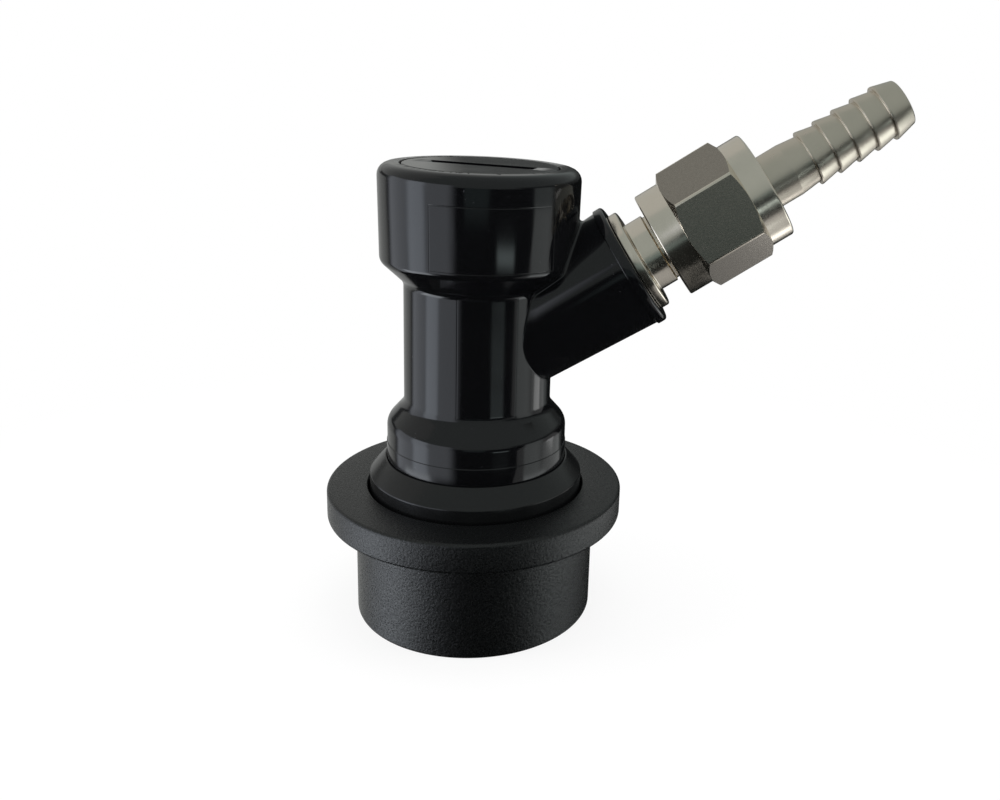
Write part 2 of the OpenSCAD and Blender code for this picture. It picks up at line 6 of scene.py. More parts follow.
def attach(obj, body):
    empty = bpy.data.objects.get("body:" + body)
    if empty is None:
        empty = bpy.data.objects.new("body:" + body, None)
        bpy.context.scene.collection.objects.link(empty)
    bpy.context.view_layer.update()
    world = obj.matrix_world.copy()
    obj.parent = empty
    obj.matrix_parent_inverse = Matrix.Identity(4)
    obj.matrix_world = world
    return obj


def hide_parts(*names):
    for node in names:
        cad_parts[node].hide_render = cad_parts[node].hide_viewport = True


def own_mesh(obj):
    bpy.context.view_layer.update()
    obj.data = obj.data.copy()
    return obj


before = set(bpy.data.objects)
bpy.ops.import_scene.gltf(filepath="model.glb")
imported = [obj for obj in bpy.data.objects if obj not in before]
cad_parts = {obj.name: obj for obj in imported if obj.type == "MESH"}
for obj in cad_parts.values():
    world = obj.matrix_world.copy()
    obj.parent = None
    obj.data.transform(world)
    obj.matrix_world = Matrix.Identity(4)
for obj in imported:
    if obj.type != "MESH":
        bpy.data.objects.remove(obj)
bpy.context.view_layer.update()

mm = 0.001  # the forms below are in millimetres, Blender's own unit is the metre

# The arm's axis starts on the body's axis and leans towards +X
armForm = {"height": 34.6, "angle": 34.0, "radius": 8.0, "draft": 1.2, "length": 23.7, "lipRadius": 8.25,
           "lipWidth": 1.3, "lipFoot": 0.15, "lipRound": 0.45, "blend": 0.35, "sink": 0.3,
           "short": math.radians(3), "footFrom": 12.0, "footTo": 26.0, "stride": 0.2, "arcSteps": 6,
           "middles": 14, "sideFrom": 20, "rootHeight": 42.0, "bore": 5.2, "boreFrom": 11.9,
           "boreEdge": 0.4, "passage": 2.5}
armLean = math.radians(90 - armForm["angle"])
armStart = Vector((0, 0, armForm["height"] * mm))
armOut = Vector((math.sin(armLean), 0, math.cos(armLean)))

bodyForm = {"foot": 0.5, "footRound": 0.3, "tube": 10.7, "shoulderFrom": 19.8, "shoulder": 11.6, "step": 0.08,
            "stepAt": 23.6, "stepRise": 0.05, "flankFrom": 26.4, "flankRound": 1.8, "waist": 9.45,
            "waistFrom": 28.8, "waistRound": 2.0, "waistTo": 44.7, "neckRound": 1.4, "headFoot": 12.35,
            "headFrom": 47.4, "headRound": 1.2, "head": 12.55, "top": 59.3, "topRound": 1.5,
            "groove": 10.2, "grooveFrom": 1.5, "grooveTo": 2.55, "mouth": 8.85, "mouthEdge": 0.5,
            "mouthTo": 9.0, "seal": 8.05, "sealFrom": 9.8, "sealTo": 17.8, "relief": 8.3, "web": 23.4,
            "pinHole": 3.1, "pinHoleEdge": 0.3, "seat": 26.4, "beadFrom": 3.6, "beadTip": 4.1,
            "beadTo": 4.6, "beadRise": 0.4, "chamber": 6.6, "ledge": 49.3, "capBore": 8.7,
            "capSeat": 57.3, "capDisc": 9.8, "capDiscEdge": 0.15}
b = bodyForm  # one letter stands for the form at hand here and below

# Small helpers for modelling

def only(obj):  # makes one object the only one selected, and the active one
    bpy.ops.object.select_all(action="DESELECT")
    obj.select_set(True)
    bpy.context.view_layer.objects.active = obj


def roundedOutline(points, steps=6):  # a point is (radius, height) or (radius, height, rounding)
    out = []
    for i, point in enumerate(points):
        here = Vector(point[:2])
        if len(point) < 3:
            out.append(here)
            continue
        toLast = Vector(points[i - 1][:2]) - here
        toNext = Vector(points[(i + 1) % len(points)][:2]) - here
        half = toLast.angle(toNext) / 2
        reach = min(point[2] / math.tan(half), 0.48 * toLast.length, 0.48 * toNext.length)
        radius = reach * math.tan(half)
        toLast.normalize()
        toNext.normalize()
        centre = here + (toLast + toNext).normalized() * radius / math.sin(half)
        first = here + toLast * reach - centre
        turn = first.angle_signed(here + toNext * reach - centre)
        for step in range(steps + 1):
            swing = Matrix.Rotation(-turn * step / steps, 2)
            out.append(centre + swing @ first)
    return out


def lathe(name, points, turns=160, steps=6):  # spins a closed outline round the Z axis
    outline = roundedOutline(points, steps)
    count = len(outline)
    mesh = bpy.data.meshes.new(name)
    sides = [(i, (i + 1) % count) for i in range(count)]
    sides = [(i, j) for i, j in sides if outline[i].x > 0 or outline[j].x > 0]  # none along the axis itself
    mesh.from_pydata([(p.x * mm, 0, p.y * mm) for p in outline], sides, [])
    obj = bpy.data.objects.new(name, mesh)
    bpy.context.scene.collection.objects.link(obj)
    only(obj)
    bpy.ops.object.mode_set(mode="EDIT")
    bpy.ops.mesh.select_all(action="SELECT")
    bpy.ops.mesh.spin(steps=turns, angle=2 * math.pi, use_auto_merge=True, center=(0, 0, 0), axis=(0, 0, 1))
    tidyShell()
    return obj


def tidyShell():  # merges doubled points and turns the faces outwards, then leaves edit mode
    bpy.ops.mesh.select_all(action="SELECT")
    bpy.ops.mesh.remove_doubles(threshold=0.000001)
    bpy.ops.mesh.normals_make_consistent(inside=False)
    bpy.ops.mesh.select_all(action="DESELECT")
    bpy.ops.object.mode_set(mode="OBJECT")


def combine(obj, tool, how):  # how is UNION, DIFFERENCE or INTERSECT
    modifier = obj.modifiers.new(how, "BOOLEAN")
    modifier.operation = how
    modifier.solver = "MANIFOLD"
    modifier.object = tool
    only(obj)
    bpy.ops.object.modifier_apply(modifier=modifier.name)
    bpy.data.objects.remove(tool)


def softenEdges(obj, width, angle=25, segments=2):  # fine bevels that catch the light
    modifier = obj.modifiers.new("edges", "BEVEL")
    modifier.width = width * mm
    modifier.segments = segments
    modifier.limit_method = "ANGLE"
    modifier.angle_limit = math.radians(angle)
    modifier.harden_normals = False
    only(obj)
    bpy.ops.object.modifier_apply(modifier=modifier.name)


def smooth(obj, angle=32, weighted=False):
    only(obj)
    bpy.ops.object.shade_smooth_by_angle(angle=math.radians(angle))
    if weighted:  # flat faces stay flat beside their small bevels
        modifier = obj.modifiers.new("weights", "WEIGHTED_NORMAL")
        modifier.keep_sharp = True
        bpy.ops.object.modifier_apply(modifier=modifier.name)


def ontoArm(obj, turn=0.0):  # takes a piece made round Z to the arm's axis, with +Z out of the mouth
    obj.data.transform(Matrix.Translation(armStart) @ Matrix.Rotation(armLean, 4, "Y")
                       @ Matrix.Rotation(math.radians(turn), 4, "Z"))
    obj.data.update()


def meshPiece(name, points, faces):  # a shell from worked-out points, in millimetres
    mesh = bpy.data.meshes.new(name)
    mesh.from_pydata([(x * mm, y * mm, z * mm) for x, y, z in points], [], faces)
    obj = bpy.data.objects.new(name, mesh)
    bpy.context.scene.collection.objects.link(obj)
    only(obj)
    bpy.ops.object.mode_set(mode="EDIT")
    tidyShell()
    return obj


def threadRod(name, rootRadius, crestRadius, pitch, low, high, columns=96, rows=14, fade=0.8):
    # a right-handed screw: a ridge with a flat crest and root, fading out at both ends
    levels = max(2, round((high - low) / pitch * rows))
    points = []
    for i in range(levels + 1):
        z = low + (high - low) * i / levels
        ends = min(1.0, (z - low) / fade, (high - z) / fade)
        for j in range(columns):
            phase = (z / pitch - j / columns) % 1.0
            ridge = min(1.0, max(0.0, (0.42 - abs(phase - 0.5)) / 0.34))
            radius = rootRadius + (crestRadius - rootRadius) * ridge * max(0.0, ends)
            turn = 2 * math.pi * j / columns
            points.append((radius * math.cos(turn), radius * math.sin(turn), z))
    faces = []
    for i in range(levels):
        for j in range(columns):
            k = (j + 1) % columns
            faces.append((i * columns + j, i * columns + k, (i + 1) * columns + k, (i + 1) * columns + j))
    points += [(0, 0, low), (0, 0, high)]
    last = levels * columns
    for j in range(columns):
        k = (j + 1) % columns
        faces.append((k, j, len(points) - 2))
        faces.append((last + j, last + k, len(points) - 1))
    return meshPiece(name, points, faces)


# Small helpers for materials

def material(name, color, roughness, metallic=0.0):
    mat = bpy.data.materials.new(name)
    mat.use_nodes = True
    shader = mat.node_tree.nodes["Principled BSDF"]
    shader.inputs["Base Color"].default_value = (*color, 1)
    shader.inputs["Roughness"].default_value = roughness
    shader.inputs["Metallic"].default_value = metallic
    return mat


def node(mat, kind, settings=None, out=0, **links):  # adds a node; a link is a value or another node's output
    made = mat.node_tree.nodes.new(kind)
    for key, value in (settings or {}).items():
        setattr(made, key, value)
    for key, value in links.items():  # i0 stands for the first input, From_Min for the one named so
        socket = made.inputs[int(key[1:]) if key[1:].isdigit() else key.replace("_", " ")]
        if isinstance(value, bpy.types.NodeSocket):
            mat.node_tree.links.new(value, socket)
        else:
            socket.default_value = value
    return made.outputs[out]


def place(mat):  # the object's own coordinates, which are the frame's metres
    return mat.node_tree.nodes.new("ShaderNodeTexCoord").outputs["Object"]


def noise(mat, where, scale, detail=2.0, roughness=0.5):
    made = mat.node_tree.nodes.new("ShaderNodeTexNoise")
    mat.node_tree.links.new(where, made.inputs["Vector"])
    made.inputs["Scale"].default_value = scale
    made.inputs["Detail"].default_value = detail
    made.inputs["Roughness"].default_value = roughness
    return made.outputs["Fac"]


def spread(mat, value, low, high, newLow, newHigh):
    return node(mat, "ShaderNodeMapRange", {"clamp": True}, Value=value, From_Min=low, From_Max=high,
                To_Min=newLow, To_Max=newHigh)


def sums(mat, how, a, b=0.0, c=0.0):
    return node(mat, "ShaderNodeMath", {"operation": how}, i0=a, i1=b, i2=c)


def link(mat, value, socket):
    shader = mat.node_tree.nodes["Principled BSDF"]
    mat.node_tree.links.new(value, shader.inputs[socket])


def bump(mat, height, strength, distance, under=None):
    made = mat.node_tree.nodes.new("ShaderNodeBump")
    made.inputs["Strength"].default_value = strength
    made.inputs["Distance"].default_value = distance
    mat.node_tree.links.new(height, made.inputs["Height"])
    if under:
        mat.node_tree.links.new(under, made.inputs["Normal"])
    return made.outputs["Normal"]


def tint(mat, value, dark, light):  # colour that runs from dark to light with value
    made = mat.node_tree.nodes.new("ShaderNodeValToRGB")
    made.color_ramp.elements[0].color = (*dark, 1)
    made.color_ramp.elements[1].color = (*light, 1)
    mat.node_tree.links.new(value, made.inputs["Fac"])
    return made.outputs["Color"]


def insertLine(mat, split, turn, look, radius):  # height of the fine line that a mould insert leaves
    aside = sums(mat, "SUBTRACT", turn, math.radians(look["turn"]))
    aside = sums(mat, "SUBTRACT", sums(mat, "ABSOLUTE", aside), math.radians(look["half"]))
    aside = sums(mat, "MULTIPLY", aside, radius)
    middle = (look["from"] + look["to"]) / 2
    above = sums(mat, "SUBTRACT", sums(mat, "MULTIPLY", split.outputs["Z"], 1 / mm), middle)
    above = sums(mat, "SUBTRACT", sums(mat, "ABSOLUTE", above), look["to"] - middle)
    edge = sums(mat, "ABSOLUTE", sums(mat, "MAXIMUM", aside, above))
    return spread(mat, edge, look["wide"] * 0.3, look["wide"], 0.0, 1.0)


def blackGloss():  # polished moulding: slow waves, a few specks of dust, and two mould inserts' outlines
    look = {"waves": 260, "waveDepth": 0.00003, "specks": 2600, "speckDepth": 0.00001, "wear": 90,
            "lineDepth": 0.00003, "rough": (0.07, 0.14),
            "dark": (0.0026, 0.0027, 0.0032), "light": (0.03, 0.031, 0.034),
            "headInsert": {"turn": 13.7, "half": 36, "from": 48.0, "to": 55.7, "wide": 0.08},
            "waistInsert": {"turn": 12.2, "half": 22.5, "from": 29.2, "to": 44.3, "wide": 0.1}}
    mat = material("blackGloss", (0.003, 0.003, 0.0035), 0.1)
    where = place(mat)
    wear = noise(mat, where, look["wear"], 4)
    link(mat, spread(mat, wear, 0.35, 0.7, *look["rough"]), "Roughness")
    specks = spread(mat, noise(mat, where, look["specks"], 1), 0.76, 0.82, 0.0, 1.0)
    link(mat, tint(mat, specks, look["dark"], look["light"]), "Base Color")
    split = mat.node_tree.nodes.new("ShaderNodeSeparateXYZ")
    mat.node_tree.links.new(where, split.inputs[0])
    turn = sums(mat, "ARCTAN2", split.outputs["X"], sums(mat, "MULTIPLY", split.outputs["Y"], -1.0))
    lines = sums(mat, "MINIMUM", insertLine(mat, split, turn, look["headInsert"], b["head"]),
                 insertLine(mat, split, turn, look["waistInsert"], b["waist"]))
    waves = bump(mat, noise(mat, where, look["waves"], 1), 0.1, look["waveDepth"])
    dust = bump(mat, specks, 0.15, look["speckDepth"], waves)
    link(mat, bump(mat, lines, 0.6, look["lineDepth"], dust), "Normal")
    return mat


def blackSatin():  # a smooth mould, half matt, which mirrors the studio softly
    look = {"clouds": 300, "waves": 1800, "waveDepth": 0.00002, "rough": (0.18, 0.26),
            "dark": (0.0026, 0.0028, 0.003), "light": (0.0038, 0.004, 0.0042)}
    mat = material("blackSatin", (0.003, 0.0032, 0.0033), 0.22)
    where = place(mat)
    cloud = noise(mat, where, look["clouds"], 3)
    link(mat, spread(mat, cloud, 0.3, 0.7, *look["rough"]), "Roughness")
    link(mat, tint(mat, cloud, look["dark"], look["light"]), "Base Color")
    link(mat, bump(mat, noise(mat, where, look["waves"], 2), 0.05, look["waveDepth"]), "Normal")
    return mat


def blackGrain():  # spark-eroded mould: an all-over fine grain whose tips glint
    look = {"grain": 3600, "grainDepth": 0.00014, "patches": 110, "rough": (0.36, 0.1),
            "dark": (0.0024, 0.0027, 0.0028), "light": (0.009, 0.0096, 0.01)}
    mat = material("blackGrain", (0.003, 0.0033, 0.0034), 0.34)
    where = place(mat)
    grain = noise(mat, where, look["grain"], 4, 0.65)
    patches = noise(mat, where, look["patches"], 3)
    tips = spread(mat, grain, 0.52, 0.72, 0.0, 1.0)
    # painted sheen: the grain's tips get a lighter colour, in patches, beside the real glints that their
    # lower roughness gives
    tipSheen = sums(mat, "MULTIPLY", tips, spread(mat, patches, 0.35, 0.7, 0.3, 1.0))
    link(mat, tint(mat, tipSheen, look["dark"], look["light"]), "Base Color")
    link(mat, spread(mat, grain, 0.3, 0.7, *look["rough"]), "Roughness")
    link(mat, bump(mat, grain, 0.6, look["grainDepth"]), "Normal")
    return mat


def shade(color, factor):  # a lighter or darker copy of a colour
    return tuple(min(1, share * factor) for share in color)


def turnedSteel(name, color, roughness, along):  # fine rings from the lathe, across the direction along
    look = {"rings": 9000, "ringDepth": 0.000012, "clouds": 350}
    mat = material(name, color, roughness, 1.0)
    where = place(mat)
    depth = node(mat, "ShaderNodeVectorMath", {"operation": "DOT_PRODUCT"}, "Value", i0=where, i1=along)
    rings = mat.node_tree.nodes.new("ShaderNodeTexNoise")
    rings.noise_dimensions = "1D"
    rings.inputs["Scale"].default_value = look["rings"]
    rings.inputs["Detail"].default_value = 3
    mat.node_tree.links.new(depth, rings.inputs["W"])
    cloud = noise(mat, where, look["clouds"], 4)
    link(mat, spread(mat, cloud, 0.3, 0.7, roughness - 0.04, roughness + 0.06), "Roughness")
    link(mat, tint(mat, cloud, shade(color, 0.92), shade(color, 1.05)), "Base Color")
    link(mat, bump(mat, rings.outputs["Fac"], 0.25, look["ringDepth"]), "Normal")
    return mat


def milledSteel():  # the nut's flats: cold drawn bar with a fine speckle
    look = {"speckle": 4200, "speckleDepth": 0.00003, "rough": (0.2, 0.32),
            "dark": (0.245, 0.22, 0.19), "light": (0.44, 0.405, 0.35)}
    mat = material("milledSteel", (0.5, 0.475, 0.435), 0.26, 1.0)
    where = place(mat)
    speckle = noise(mat, where, look["speckle"], 3, 0.7)
    link(mat, spread(mat, speckle, 0.3, 0.7, *look["rough"]), "Roughness")
    link(mat, tint(mat, speckle, look["dark"], look["light"]), "Base Color")
    link(mat, bump(mat, speckle, 0.35, look["speckleDepth"]), "Normal")
    return mat


def plainSteel(name, color, roughness):  # drawn wire, pressed ring and ground balls
    look = {"clouds": 900, "waves": 4000, "waveDepth": 0.00002}
    mat = material(name, color, roughness, 1.0)
    where = place(mat)
    cloud = noise(mat, where, look["clouds"], 4)
    link(mat, spread(mat, cloud, 0.3, 0.7, roughness * 0.8, roughness * 1.4), "Roughness")
    link(mat, bump(mat, noise(mat, where, look["waves"], 2), 0.05, look["waveDepth"]), "Normal")
    return mat


def rubber():
    look = {"dust": 1500, "dustDepth": 0.00003, "dark": (0.009, 0.009, 0.009), "light": (0.03, 0.03, 0.03)}
    mat = material("sealRubber", (0.014, 0.014, 0.014), 0.7)
    where = place(mat)
    dust = noise(mat, where, look["dust"], 4)
    link(mat, tint(mat, dust, look["dark"], look["light"]), "Base Color")
    link(mat, bump(mat, dust, 0.2, look["dustDepth"]), "Normal")
    return mat


def mouldedPlastic(name, color):
    look = {"clouds": 500, "waves": 3000, "waveDepth": 0.00002, "rough": (0.36, 0.5)}
    mat = material(name, color, 0.42)
    where = place(mat)
    cloud = noise(mat, where, look["clouds"], 3)
    link(mat, tint(mat, cloud, shade(color, 0.9), shade(color, 1.08)), "Base Color")
    link(mat, spread(mat, cloud, 0.3, 0.7, *look["rough"]), "Roughness")
    link(mat, bump(mat, noise(mat, where, look["waves"], 2), 0.1, look["waveDepth"]), "Normal")
    return mat


print("making the finishes")
steelColor = (0.86, 0.79, 0.68)
barbColor = (0.7, 0.64, 0.54)
finish = {
    "gloss": blackGloss(),
    "satin": blackSatin(),
    "grain": blackGrain(),
    "turned": turnedSteel("turnedSteel", steelColor, 0.2, tuple(armOut)),
    "barb": turnedSteel("barbSteel", barbColor, 0.3, tuple(armOut)),
    "milled": milledSteel(),
    "wire": plainSteel("springWire", (0.5, 0.5, 0.5), 0.28),
    "ball": plainSteel("ballSteel", (0.72, 0.72, 0.73), 0.08),
    "rubber": rubber(),
    "nylon": mouldedPlastic("washerNylon", (0.78, 0.77, 0.72)),
    "grey": mouldedPlastic("pinPlastic", (0.06, 0.06, 0.065)),
}


def dress(obj, look, body, slot, *nodes):  # gives a piece its finish, its body and the nodes it stands for
    obj.data.materials.clear()
    obj.data.materials.append(finish[look])
    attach(obj, body)
    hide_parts(*nodes)
    return obj


# Body

bodyOutside = [
    (0, b["foot"]), (b["tube"], b["foot"], b["footRound"]), (b["tube"], b["grooveFrom"]),
    (b["groove"], b["grooveFrom"]), (b["groove"], b["grooveTo"]), (b["tube"], b["grooveTo"]),
    (b["tube"], b["shoulderFrom"]), (b["shoulder"] + b["step"], b["shoulderFrom"], 0.2),
    (b["shoulder"] + b["step"], b["stepAt"], 0.06), (b["shoulder"], b["stepAt"] + b["stepRise"], 0.04),
    (b["shoulder"], b["flankFrom"], b["flankRound"]), (b["waist"], b["waistFrom"], b["waistRound"]),
    (b["waist"], b["waistTo"], b["neckRound"]), (b["headFoot"], b["headFrom"], b["headRound"]),
    (b["head"], b["top"], b["topRound"]), (0, b["top"])]
bodyInside = [
    (0, b["foot"] - 1), (b["mouth"] + b["mouthEdge"], b["foot"] - 1),
    (b["mouth"] + b["mouthEdge"], b["foot"]), (b["mouth"], b["foot"] + b["mouthEdge"], 0.2),
    (b["mouth"], b["mouthTo"]), (b["seal"], b["sealFrom"], 0.2), (b["seal"], b["sealTo"]),
    (b["relief"], b["sealTo"]), (b["relief"], b["web"], 0.4), (b["pinHole"] + b["pinHoleEdge"], b["web"]),
    (b["pinHole"], b["web"] + b["pinHoleEdge"]), (b["pinHole"], b["seat"]), (b["beadFrom"], b["seat"]),
    (b["beadTip"], b["seat"] + b["beadRise"], 0.15), (b["beadTo"], b["seat"]),
    (b["chamber"], b["seat"], 0.5), (b["chamber"], b["ledge"]), (b["capBore"], b["ledge"]),
    (b["capBore"], b["capSeat"]), (b["capDisc"], b["capSeat"]),
    (b["capDisc"], b["top"] - b["capDiscEdge"]), (b["capDisc"] + b["capDiscEdge"], b["top"]),
    (b["capDisc"] + b["capDiscEdge"], b["top"] + 1), (0, b["top"] + 1)]


def nearestOnOutline(point, outline):  # distance from the body's side, and the nearest point of it
    radius = math.hypot(point.x, point.y)
    here = Vector((radius, point.z))
    best, found = 1e9, None
    for i in range(len(outline) - 1):
        start, run = outline[i], outline[i + 1] - outline[i]
        if run.length_squared < 1e-12:
            continue
        share = max(0.0, min(1.0, (here - start).dot(run) / run.length_squared))
        on = start + run * share
        if (here - on).length < best:
            best, found = (here - on).length, on
    return best, Vector((point.x / radius * found.x, point.y / radius * found.x, found.y))


def armRadius(station):  # the arm tapers from its lip towards the body
    return armForm["radius"] - armForm["draft"] * (1 - station / (armForm["length"] - armForm["lipWidth"]))


def armNormal(out):  # square to the arm's tapered side
    taper = math.atan2(armForm["draft"], armForm["length"] - armForm["lipWidth"])
    return out * math.cos(taper) - armOut * math.sin(taper)


def traceFillet():  # rolls a ball round the corner between the arm and the body, in equal steps
    a = armForm
    outline = [p for p in roundedOutline(bodyOutside) if p.x > 0 and p.y > a["sideFrom"]]
    along, side = Vector(armOut), Vector((0, 1, 0))
    up = along.cross(side)
    start = armStart / mm
    reach = a["radius"] + a["blend"]
    nudge, close, most = 0.01, 0.001, 2000

    def centre(arc, s):  # arc is measured round the circle that the ball's centre keeps to
        out = side * math.cos(arc / reach) + up * math.sin(arc / reach)
        return start + along * s + out * armRadius(s) + armNormal(out) * a["blend"]

    def gap(arc, s):
        return nearestOnOutline(centre(arc, s), outline)[0] - a["blend"]

    def slope(arc, s):
        sideways = (gap(arc + nudge, s) - gap(arc - nudge, s)) / (2 * nudge)
        outwards = (gap(arc, s + nudge) - gap(arc, s - nudge)) / (2 * nudge)
        return Vector((sideways, outwards))

    def settle(spot):
        for _ in range(4):
            way = slope(*spot)
            spot = spot - way * gap(*spot) / way.length_squared
        return spot

    low, high = a["footFrom"], a["footTo"]  # on top of the arm the ball comes from outside
    while high - low > close:
        middle = (low + high) / 2
        low, high = (middle, high) if gap(reach * math.pi / 2, middle) < 0 else (low, middle)
    spot = settle(Vector((reach * math.pi / 2, high)))
    first, track = spot.copy(), [spot]
    while spot.x - first.x < reach * 2 * math.pi and len(track) < most:
        way = slope(*spot)
        ahead = Vector((way.y, -way.x)).normalized()
        if ahead.x < 0:
            ahead = -ahead
        if len(track) > 1 and ahead.dot(track[-1] - track[-2]) < 0:
            ahead = -ahead
        spot = settle(spot + ahead * a["stride"])
        track.append(spot)
    track.pop()
    if (track[-1] - first - Vector((reach * 2 * math.pi, 0))).length < a["stride"] * 0.5:
        track.pop()
    rings = []
    for spot in track:
        turn = spot.x / reach
        out = side * math.cos(turn) + up * math.sin(turn)
        ball = centre(*spot)
        touch = nearestOnOutline(ball, outline)[1]
        rings.append((spot.y, turn, out, ball, (touch - ball).normalized()))
    return rings


def armWithFoot():  # the arm with its fillet, whose last few degrees are left off, and a root in the body
    a = armForm
    along, start = Vector(armOut), armStart / mm
    lipFrom = a["length"] - a["lipWidth"]
    tip = [(a["radius"], lipFrom), (a["lipRadius"], lipFrom, a["lipFoot"]),
           (a["lipRadius"], a["length"], a["lipRound"]), (0, a["length"])]
    tipOutline = roundedOutline(tip)
    points, faces = [], []
    rings = traceFillet()
    side = Vector((0, 1, 0))
    up = along.cross(side)
    for i, (s, turn, out, ball, inward) in enumerate(rings):
        even = math.pi / 2 + 2 * math.pi * i / len(rings)  # the steps are even again at the mouth
        first = -armNormal(out)
        last = first.slerp(inward, 1 - min(0.5, a["short"] / first.angle(inward)))
        row = [ball + last * a["blend"] + inward * a["sink"]]
        row += [ball + first.slerp(last, k / a["arcSteps"]) * a["blend"]
                for k in range(a["arcSteps"], -1, -1)]
        for k in range(1, a["middles"]):
            share = k / a["middles"]
            now = turn + (even - turn) * share
            out = side * math.cos(now) + up * math.sin(now)
            station = s + (tipOutline[0].y - s) * share
            row.append(start + along * station + out * armRadius(station))
        out = side * math.cos(even) + up * math.sin(even)
        row += [start + along * p.y + out * p.x for p in tipOutline[:-1]]
        points += [tuple(p) for p in row]
    count, around = len(points) // len(rings), len(rings)
    for i in range(around):
        j = (i + 1) % around
        for k in range(count - 1):
            faces.append((i * count + k, j * count + k, j * count + k + 1, i * count + k + 1))
    points += [(0, 0, a["rootHeight"]), tuple(start + along * a["length"])]
    for i in range(around):
        j = (i + 1) % around
        faces.append((j * count, i * count, len(points) - 2))
        faces.append((i * count + count - 1, j * count + count - 1, len(points) - 1))
    return meshPiece("arm", points, faces)


def twin(obj):  # a clean copy, kept for its normals
    copy = obj.copy()
    copy.data = obj.data.copy()
    bpy.context.scene.collection.objects.link(copy)
    return copy


def cleanNormals(obj, sources, near, angle=32):  # near the joins, the form is shaded as its parts were
    for source in sources:
        smooth(source, angle)
    only(sources[0])
    for source in sources:
        source.select_set(True)
    bpy.ops.object.join()
    guide = bpy.context.object
    smooth(obj, angle)
    joins = obj.vertex_groups.new(name="joins")
    joins.add([vertex.index for vertex in obj.data.vertices if near(vertex.co)], 1.0, "REPLACE")
    modifier = obj.modifiers.new("normals", "DATA_TRANSFER")
    modifier.object = guide
    modifier.vertex_group = joins.name
    modifier.use_loop_data = True
    modifier.data_types_loops = {"CUSTOM_NORMAL"}
    modifier.loop_mapping = "POLYINTERP_LNORPROJ"
    modifier.use_max_distance = True
    modifier.max_distance = 0.01 * mm
    only(obj)
    bpy.ops.object.modifier_apply(modifier=modifier.name)
    bpy.data.objects.remove(guide)


print("modelling the body")
body = lathe("bodyShell", bodyOutside, 192)
arm = armWithFoot()
hollow = lathe("hollow", bodyInside, 160)
a = armForm
socket = lathe("socket", [
    (0, a["passage"]), (a["passage"], a["passage"]), (a["passage"], a["boreFrom"]),
    (a["bore"], a["boreFrom"]), (a["bore"], a["length"] - a["boreEdge"]),
    (a["bore"] + a["boreEdge"], a["length"]),
    (a["bore"] + a["boreEdge"], a["length"] + 1), (0, a["length"] + 1)], 128)
ontoArm(socket)
guides = [twin(body), twin(arm), twin(hollow), twin(socket)]
combine(body, arm, "UNION")
combine(body, hollow, "DIFFERENCE")
combine(body, socket, "DIFFERENCE")
ballForm = {"count": 3, "height": 5.4, "hole": 1.66, "throat": 9.47, "reach": 2, "cone": 20}
c = ballForm
narrow = c["hole"] - c["reach"] * math.tan(math.radians(c["cone"]))
for i in range(c["count"]):
    hole = lathe("ballHole", [
        (0, c["throat"] - c["reach"]), (narrow, c["throat"] - c["reach"]), (c["hole"], c["throat"]),
        (c["hole"], b["tube"] + 1), (0, b["tube"] + 1)], 48)
    hole.data.transform(Matrix.Translation((0, 0, c["height"] * mm))
                        @ Matrix.Rotation(math.radians(180 + 360 / c["count"] * i), 4, "Z")
                        @ Matrix.Rotation(math.radians(90), 4, "Y"))
    combine(body, hole, "DIFFERENCE")

joinForm = {"from": 26, "beforeLip": 0.5}


def nearJoin(point):  # from the top of the shoulder upwards, and short of the arm's lip
    station = (point - armStart).dot(armOut)
    stop = armForm["length"] - armForm["lipWidth"] - joinForm["beforeLip"]
    return joinForm["from"] * mm < point.z and station < stop * mm


cleanNormals(body, guides, nearJoin)
dress(body, "gloss", "housing", "black_gloss", "body")

# Lock collar

print("modelling the collar, the cup and the cap")
collarForm = {"height": 17.5, "skirt": 15.7, "skirtRound": 0.4, "flange": 19.34, "flangeThick": 3.9,
              "flangeRound": 0.45, "corner": 0.35, "bore": 14.15, "boreEdge": 0.15, "shelf": 8.0,
              "land": 11.25, "camTo": 5.7, "camFoot": 12.55}
c = collarForm
flangeFrom = c["height"] - c["flangeThick"]
collar = lathe("collarShell", [
    (c["camFoot"], 0, 0.15), (c["skirt"], 0, c["skirtRound"]), (c["skirt"], flangeFrom, c["corner"]),
    (c["flange"], flangeFrom, c["flangeRound"]), (c["flange"], c["height"], c["flangeRound"]),
    (c["bore"] + c["boreEdge"], c["height"], 0.1), (c["bore"], c["height"] - c["boreEdge"], 0.1),
    (c["bore"], c["shelf"], 0.4), (c["land"], c["shelf"], 0.3), (c["land"], c["camTo"], 0.1)], 224)
smooth(collar, 35)
dress(collar, "grain", "collar", "black_matte", "lock_collar")

# Spring cup

cupForm = {"bore": 10.8, "wall": 1, "outside": 13.9, "foot": 14.0, "groove": 13.15, "grooveTo": 17.5,
           "bevelFrom": 19.2, "top": 21.4, "land": 0.15, "socket": 11.78, "socketFrom": 19.75}
c = cupForm
cup = lathe("cupShell", [
    (c["bore"], c["foot"]), (c["bore"] + c["wall"], c["foot"]), (c["bore"] + c["wall"], c["grooveTo"]),
    (c["groove"], c["grooveTo"]), (c["groove"], c["foot"]), (c["outside"], c["foot"], 0.2),
    (c["outside"], c["bevelFrom"], 0.35), (c["socket"] + c["land"], c["top"], 0.08),
    (c["socket"], c["top"]), (c["socket"], c["socketFrom"]), (c["bore"], c["socketFrom"])], 192)
smooth(cup, 32)
dress(cup, "satin", "housing", "black_satin", "spring_cup")

# Top cap, with its thread, seal groove and coin slot

